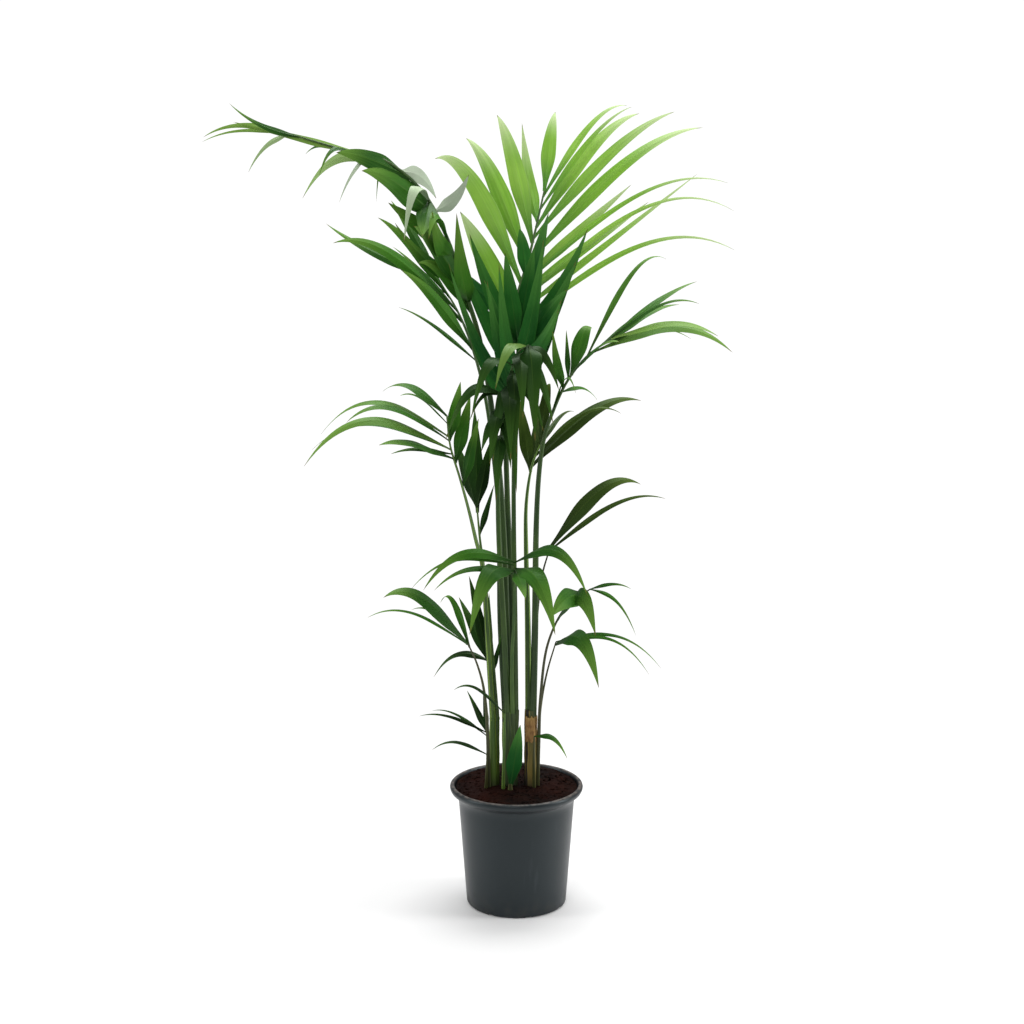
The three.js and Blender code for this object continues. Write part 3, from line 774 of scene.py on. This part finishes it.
frond(
    "frond_arching_left",
    [
        (-14, 8.5, 355), (-18, 12, 525), (-24, 12, 705), (-38, 2, 870), (-63, -18, 1030),
        (-93, -36, 1130), (-116, -52, 1205), (-155, -72, 1285), (-218, -95, 1340), (-291, -115, 1360),
        (-370, -140, 1385),
    ],
    (4, 1.3), (0, -0.9, 0.45),
    [
        (0.98, (-460, -195, 1435), 14, -0.08), (1, (-510, -150, 1380), 14, 0.12),
        (1, (-520, -95, 1370), 8, 0.08), (1, (-435, -175, 1325), 12, 0.16),
        (0.92, (-350, -90, 1350), 7, 0.12), (0.88, (-320, -180, 1320), 12, 0.26),
        (0.8, (-360, -50, 1275), 20, 0.24), (0.64, (-165, -120, 1225), 24, 0.3),
        (0.6, (-145, -150, 1215), 20, 0.4), (0.64, (-255, -130, 1325), 42, 0.1),
        (0.74, (-295, -140, 1355), 34, 0.06), (0.86, (-460, -160, 1405), 16, 0),
        (0.68, (-155, -150, 1220), 34, 0.04), (0.8, (-235, -70, 1270), 8, 0.4),
        (0.58, (-215, -80, 1270), 26, 0), (0.5, (-205, -60, 1235), 22, -0.1),
        (0.46, (-100, -105, 1255), 30, -0.2), (0.44, (-165, -90, 1170), 22, 0.16),
        (0.48, (-170, -130, 1235), 30, 0.08), (0.56, (-140, -130, 1260), 30, -0.2),
        (0.76, (-135, -60, 1275), 26, 0.2), (0.68, (-185, -160, 1210), 20, 0.5),
        (0.66, (-80, -60, 1315), 22, -0.16), (0.84, (-290, -160, 1275), 8, 0.1),
    ],
    glare={1: 0.5, 2: 0.5, 3: 0.8, 6: 0.75, 11: 0.5, 20: 0.97, 21: 0.88, 22: 0.97, 23: 0.92},
)
frond(
    "frond_tall_back",
    [
        (-5, 7, 355), (-9, 24, 520), (-15, 40, 700), (-19, 58, 860), (-15, 76, 1000), (-1, 90, 1085),
        (20, 106, 1155), (34, 122, 1210), (49, 142, 1275),
    ],
    (4, 1.4), (0, -1, 0.35),
    [
        (0.58, (-100, 130, 1240), 38, 0.04), (0.68, (-145, 165, 1330), 32, 0.2),
        (0.74, (-90, 190, 1365), 32, 0.12), (0.82, (-35, 215, 1405), 30, 0.1),
        (0.9, (10, 240, 1390), 24, -0.12), (1, (70, 230, 1410), 24, 0.1),
        (0.98, (200, 270, 1420), 16, 0.14), (0.94, (205, 190, 1420), 14, 0.1),
        (0.88, (225, 300, 1405), 22, 0.1), (0.84, (285, 240, 1410), 20, 0.08),
        (0.74, (340, 290, 1380), 22, 0.1), (0.68, (205, 170, 1285), 18, 0),
        (0.64, (240, 230, 1250), 18, 0), (0.62, (200, 120, 1235), 10, 0),
        (0.58, (330, 250, 1300), 16, 0), (0.66, (380, 200, 1285), 12, 0.14),
        (0.6, (385, 140, 1240), 12, 0.18), (0.54, (395, 190, 1165), 14, 0.16),
    ],
    leaf=FRESH,
)
frond(
    "frond_tall_centre",
    [
        (-2, -1.5, 355), (-3, -6, 530), (-5, -8, 715), (-4, -10, 875), (1, -10, 995), (7, -6, 1075),
        (18, 2, 1130),
    ],
    (3.5, 1.4), (0, -1, 0.3),
    [
        (0.8, (55, 30, 1245), 26, 0), (0.72, (120, -50, 1225), 26, -0.1),
        (0.7, (85, -80, 1125), 26, 0.02), (0.7, (-80, -40, 1215), 26, -0.06),
        (0.64, (-55, -70, 1140), 18, 0), (0.76, (-135, 50, 1165), 22, 0.04),
        (0.72, (-20, -60, 1185), 26, 0), (0.76, (30, -45, 1195), 24, 0), (1, (5, 0, 1220), 22, 0.1),
        (0.64, (70, -110, 1095), 26, -0.1), (0.56, (-50, -80, 1140), 22, -0.1),
        (0.6, (-110, -40, 1185), 22, 0.02), (0.62, (100, -60, 1170), 28, -0.04),
        (0.56, (-115, -74, 1170), 18, -0.12), (0.58, (-30, -95, 1170), 24, -0.14),
        (0.6, (75, -100, 1110), 30, -0.08), (0.54, (-95, -50, 1105), 24, -0.1),
        (0.62, (45, -90, 1210), 26, -0.1),
    ],
    leaf=DEEP,
)
frond(
    "frond_upper_left",
    [
        (-20, 1.5, 355), (-29, 20, 525), (-31, 32, 705), (-42, 42, 830), (-54, 52, 915), (-71, 66, 985),
        (-93, 84, 1045), (-121, 106, 1095), (-150, 126, 1125),
    ],
    (3.5, 1.2), (0.2, -0.8, 0.6),
    [
        (0.94, (-225, 190, 1255), 18, 0.04), (0.86, (-245, 120, 1230), 18, 0.08),
        (1, (-340, 170, 1215), 18, -0.04), (0.76, (-320, 60, 1190), 24, 0.16),
        (0.88, (-280, 220, 1165), 12, 0.02), (0.8, (-215, 50, 1185), 14, 0.04),
        (0.66, (-200, 40, 1145), 24, 0.08), (0.62, (-210, 130, 1070), 10, 0.06),
    ],
)
frond(
    "frond_crown_front",
    [
        (-16, -7.5, 355), (-23, -15, 530), (-31, -24, 680), (-32, -36, 790), (-25, -54, 880),
        (-15, -84, 960), (0, -122, 1020), (19, -150, 1040),
    ],
    (3.5, 1.4), (0, -0.7, 0.7),
    [
        (0.98, (-35, -235, 980), 20, 0.3), (1, (30, -215, 890), 34, 0.3),
        (0.88, (10, -230, 930), 26, 0.28), (0.8, (-75, -190, 925), 22, 0.4),
        (0.76, (45, -120, 890), 20, 0.22), (0.72, (-10, -200, 855), 26, 0.28),
        (0.68, (-120, -120, 875), 22, 0.4), (0.64, (-45, -160, 840), 26, 0.28),
        (0.6, (-60, -95, 850), 20, 0.3), (0.72, (-40, -130, 840), 18, 0.26),
        (0.78, (0, -170, 860), 22, 0.28), (0.84, (60, -200, 915), 22, 0.28),
        (0.68, (-80, -110, 905), 16, 0.35), (0.56, (-30, -80, 795), 20, 0.25),
        (0.6, (-10, -70, 815), 18, 0.3), (0.94, (70, -160, 965), 18, 0.3),
        (0.56, (-35, -90, 765), 24, 0.3), (0.64, (0, -80, 775), 24, 0.35),
    ],
    leaf=SHADED, glare={0: 0.28},
)


# ---------------------------------------------------------------------------------------------
# Side fronds: two fronds lean out on each side at the height of the crown's foot. They are older and
# darker, and their leaflets arch over and hang. The back one on the left is darkened further with the shaded
# leaf, which is painted shade.
# ---------------------------------------------------------------------------------------------

frond(
    "frond_right",
    [
        (29.5, -3, 355), (33, -10, 530), (34, -16, 680), (38, -22, 785), (47, -30, 860), (64, -42, 915),
        (86, -56, 965), (118, -74, 1010), (159, -98, 1045),
    ],
    (4, 1.3), (-0.1, -0.5, 1),
    [
        (0.88, (255, -20, 1170), 16, 0.22), (0.98, (305, -50, 1135), 18, 0.06),
        (1, (300, -160, 1110), 14, 0.14), (0.94, (280, 0, 1090), 18, 0.08),
        (1, (330, -190, 1060), 22, 0.12), (0.9, (360, -130, 1025), 26, 0.18),
        (0.96, (295, -70, 1040), 14, 0.14), (0.8, (170, -150, 1045), 28, 0.12),
        (0.78, (130, -10, 1050), 26, 0.26), (0.72, (60, -120, 1060), 20, -0.08),
        (0.76, (85, -30, 1050), 12, 0), (0.7, (140, -10, 925), 14, 0.2),
        (0.58, (100, -90, 950), 12, 0.5),
    ],
    glare={0: 0.15, 4: 0.4, 5: 0.25},
)
frond(
    "frond_right_back",
    [
        (22, 3.5, 355), (20, 14, 525), (17, 24, 650), (17, 30, 730), (26, 38, 795), (42, 52, 835),
    ],
    (4, 1.4), (-0.1, -0.8, 0.6),
    [
        (0.82, (225, 140, 900), 24, 0.14), (0.9, (185, 60, 890), 16, 0.2),
        (0.98, (105, 170, 875), 12, 0.12), (0.78, (5, 100, 910), 22, 0), (0.84, (45, 130, 905), 18, 0),
        (1, (60, 80, 940), 18, 0.2),
    ],
    leaf=OLIVE,
)
frond(
    "frond_left",
    [
        (-43, -3, 355), (-51, -14, 495), (-59, -22, 625), (-71, -28, 680), (-83, -36, 735),
        (-98, -48, 795), (-114, -64, 855), (-119, -80, 910),
    ],
    (3.2, 1.2), (0.1, -0.5, 1),
    [
        (0.9, (-335, -60, 875), 18, 0.26), (0.88, (-285, -150, 910), 18, 0.2),
        (0.84, (-360, -125, 830), 22, 0.26), (0.84, (-355, -20, 840), 16, 0.18),
        (0.8, (-230, -170, 875), 26, 0.08), (0.82, (-215, -90, 845), 16, 0.08),
        (1, (-230, -40, 945), 20, 0.22), (0.96, (-195, -150, 955), 14, 0.14),
        (0.88, (-95, -90, 970), 22, 0), (0.78, (-80, -20, 935), 22, 0), (0.68, (-65, -80, 905), 20, 0),
    ],
    glare={0: 0.22, 2: 0.28},
)
frond(
    "frond_left_back",
    [
        (-35.5, 3, 355), (-46, 12, 490), (-58, 22, 615), (-65, 28, 670), (-70, 36, 725),
    ],
    (2.6, 1.4), (0, -1, 0.4),
    [
        (1, (-45, 50, 845), 20, 0), (0.96, (-75, 110, 890), 24, 0), (1, (-110, 130, 830), 20, 0),
        (0.78, (-40, 70, 760), 14, 0),
    ],
    leaf=SHADED,
)


# ---------------------------------------------------------------------------------------------
# Low fronds: the first fronds of younger shoots, most on thin brownish stalks, with only two to seven
# leaflets each. Their stalks come straight out of the soil or low on a stem.
# ---------------------------------------------------------------------------------------------

frond(
    "frond_low_front",
    [
        (-7, -8, 355), (-8, -22, 460), (-4, -40, 555), (-3, -66, 650),
    ],
    (2.8, 1.6), (0, -0.8, 0.6),
    [
        (0.94, (-80, -180, 550), 36, 0.34), (0.96, (65, -200, 555), 36, 0.26),
        (1, (120, -165, 615), 24, 0.32), (1, (-160, -130, 615), 18, 0.24),
        (0.98, (-185, -40, 595), 12, 0.18), (0.92, (-140, -170, 625), 16, 0.14),
        (0.94, (15, -230, 625), 20, 0.04),
    ],
)
frond(
    "frond_pair_right",
    [
        (30, 14, 200), (30, 16, 355), (34, 24, 485), (44, 38, 590), (60, 48, 650),
    ],
    (2, 1.2), (-0.2, -0.8, 0.6),
    [
        (1, (225, 120, 750), 26, 0.2), (0.97, (265, 40, 740), 14, 0.14),
    ],
    leaf=OLIVE, skin=BROWN_STALK,
)
frond(
    "frond_low_right",
    [
        (37.5, -4, 200), (40, -6, 306), (43, -14, 390), (54, -36, 490), (84, -58, 565), (127, -80, 605),
    ],
    (2, 1.2), (0, -0.9, 0.4),
    [
        (0.72, (135, -150, 540), 38, 0.5), (0.96, (60, -150, 575), 36, 0.12),
        (1, (200, -60, 600), 8, 0.12), (1, (205, -130, 535), 9, 0.22),
    ],
    skin=BROWN_STALK,
)
frond(
    "frond_small_right",
    [
        (37, 5, 200), (40, 14, 310), (44, 18, 365), (55, 24, 425), (71, 30, 480),
    ],
    (1.8, 1.1), (0, -0.9, 0.4),
    [
        (0.98, (145, -60, 420), 34, 0.42), (0.97, (240, 40, 415), 9, 0.24),
        (1, (265, 100, 410), 9, 0.18),
    ],
    skin=BROWN_STALK,
)
frond(
    "frond_low_left",
    [
        (-49, -9, 200), (-52, -14, 330), (-58, -20, 405), (-70, -26, 455), (-86, -34, 495),
    ],
    (2, 1.2), (0, -0.6, 0.8),
    [
        (1, (-230, -100, 595), 34, 0.2), (0.95, (-135, 0, 560), 16, 0.4),
        (1, (-185, -30, 555), 10, 0.18), (0.98, (-255, -140, 570), 12, 0.14),
    ],
    skin=BROWN_STALK,
)
frond(
    "frond_small_left",
    [
        (-35, 13, 200), (-36, 17, 310), (-41, 22, 385), (-49, 28, 445),
    ],
    (2, 1.2), (0, -0.7, 0.7),
    [
        (1, (-150, 60, 405), 16, 0.26), (0.98, (-105, 100, 545), 18, 0.02),
        (0.92, (-85, 40, 600), 18, 0.02), (0.84, (-26, -3, 505), 12, 0), (1, (-50, 130, 545), 16, 0),
    ],
    leaf=SHADED, skin=BROWN_STALK,
)


# ---------------------------------------------------------------------------------------------
# Young leaves: a seedling with its first few leaflets, three single leaves that are still undivided,
# and one new spear that is only starting to unroll in front of the middle stem.
# ---------------------------------------------------------------------------------------------

frond(
    "seedling_left",
    [
        (-52, 13, 200), (-50, 18, 260), (-50, 24, 295), (-53, 28, 310),
    ],
    (1.8, 1.2), (0, -0.7, 0.7),
    [
        (1, (-90, 60, 380), 14, 0.02), (0.9, (-60, 20, 385), 12, 0.1), (1, (-175, 0, 350), 9, 0.1),
        (0.8, (-155, 80, 335), 7, 0.12),
    ],
    leaf=SHADED, skin=BROWN_STALK,
)
frond(
    "leaf_front_left",
    [
        (-24, -22, 200), (-22, -27, 315), (-21, -30, 365),
    ],
    (1.8, 1.2), (0, -0.5, 0.9),
    [
        (1, (-110, -70, 420), 13, 0.2),
    ],
    leaf=SHADED,
)
frond(
    "leaf_small_left",
    [
        (-56, -14, 200), (-53, -18, 262), (-53, -19, 285),
    ],
    (1.6, 1.1), (0, -0.5, 0.9),
    [
        (1, (-150, -40, 300), 12, 0.18),
    ],
    leaf=SHADED, skin=BROWN_STALK,
)
frond(
    "leaf_small_right",
    [
        (32, -13, 200), (31, -19, 285), (32, -22, 320),
    ],
    (1.8, 1.2), (0, -0.6, 0.8),
    [
        (1, (90, -60, 290), 16, 0.26),
    ],
    skin=BROWN_STALK,
)
frond(
    "spear_front",
    [
        (-11, -26, 200), (-11, -28, 232),
    ],
    (4, 3), (0, -1, 0.1),
    [
        (0.8, (7, -33, 345), 26, 0),
    ],
    leaf=DEEP, skin=BROWN_STALK,
)

for form in (sheath_form, stalk_form, blade_form):
    bpy.data.objects.remove(form, do_unlink=True)


# ---------------------------------------------------------------------------------------------
# Studio: a plain white floor that fades out into an even white surround, a large soft light overhead,
# one on each side and one in front, and the camera a little above the plant's top, looking down.
# ---------------------------------------------------------------------------------------------

WORLD_LIGHT, BACKDROP_LIGHT = 0.42, 1.05  # on the plant, and as the camera sees it
CAMERA_DIP = 12.13  # degrees that the camera looks down

deselect()
bpy.ops.mesh.primitive_plane_add(size=6, location=(0, 0, 0))
floor = new_piece("studio_floor")
settle(floor)
paper = Shader("white_paper")
reach = paper.add("VectorMath", {"operation": "LENGTH"}, {"Vector": paper.place()}, output=1)
floor.data.materials.append(
    paper.surface(
        Base_Color=(0.93, 0.93, 0.93),
        Roughness=0.9,
        Specular_IOR_Level=0.1,
        Alpha=1 - reach.between(0.35, 1.3),
    )
)

world = bpy.data.worlds.new("studio")
bpy.context.scene.world = world
world.use_nodes = True
sky = world.node_tree.nodes["Background"]
rays = world.node_tree.nodes.new("ShaderNodeLightPath")
level = world.node_tree.nodes.new("ShaderNodeMapRange")
world.node_tree.links.new(rays.outputs["Is Camera Ray"], level.inputs["Value"])
level.inputs["To Min"].default_value = WORLD_LIGHT
level.inputs["To Max"].default_value = BACKDROP_LIGHT
sky.inputs["Color"].default_value = (1, 1, 1, 1)
world.node_tree.links.new(level.outputs["Result"], sky.inputs["Strength"])


def soft_light(name, place, target, size, power):
    lamp = bpy.data.lights.new(name, "AREA")
    lamp.shape = "RECTANGLE"
    lamp.size, lamp.size_y = size
    lamp.energy = power
    holder = bpy.data.objects.new(name, lamp)
    holder.location = place
    holder.rotation_euler = (Vector(target) - Vector(place)).to_track_quat("-Z", "Y").to_euler()
    bpy.context.collection.objects.link(holder)


soft_light("overhead_light", (0.2, 0.7, 3.0), (0, 0, 0.9), (2.2, 1.6), 62)
soft_light("right_light", (2.1, -0.3, 1.1), (0, 0, 0.6), (0.7, 2.2), 30)
soft_light("left_light", (-2.1, -0.5, 1.1), (0, 0, 0.6), (0.6, 2.2), 19)
soft_light("front_light", (-0.6, -3.0, 2.4), (0, 0, 0.8), (1.6, 1.6), 20)

lens = bpy.data.cameras.new("camera")
lens.lens = 75.7
lens.sensor_width = 36
lens.clip_end = 100
camera = bpy.data.objects.new("camera", lens)
camera.location = (-0.008, -3.7, 1.52)
camera.rotation_euler = (math.radians(90 - CAMERA_DIP), 0, 0)
bpy.context.collection.objects.link(camera)
bpy.context.scene.camera = camera
bpy.context.scene.view_settings.view_transform = "Standard"
